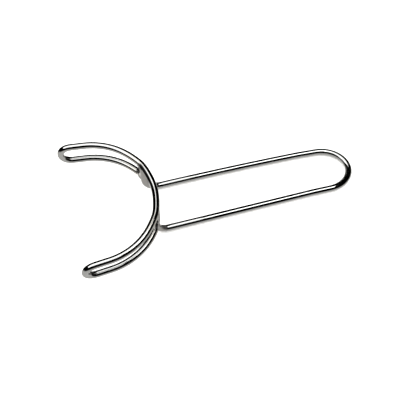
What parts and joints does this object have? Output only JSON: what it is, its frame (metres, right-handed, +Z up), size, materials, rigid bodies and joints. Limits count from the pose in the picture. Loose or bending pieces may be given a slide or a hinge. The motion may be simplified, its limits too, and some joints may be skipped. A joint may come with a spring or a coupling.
{
  "type": "cheek retractor",
  "caption": "Wire cheek retractor: a long loop handle bent up into uprights that carry a C-shaped double-wire head with rounded tips, joined by braze fillets.",
  "frame": {"origin": "middle of the footprint, on the surface that the handle lies on", "axes": "+X along the handle away from the head, +Y to the left of someone who looks along +X, +Z up, out of the surface"},
  "size_m": [0.142, 0.066, 0.0224],
  "materials": {
    "polished_steel": "mirror-polished stainless steel wire, with faint drawing lines along it",
    "braze_metal": "smooth satin silver braze, polished over with the wire"
  },
  "bodies": {
    "root": {"handle_wire": "polished_steel", "head_wire": "polished_steel", "left_bow_braze": "braze_metal", "right_bow_braze": "braze_metal", "left_lobe_braze": "braze_metal", "right_lobe_braze": "braze_metal"}
  },
  "joints": []
}
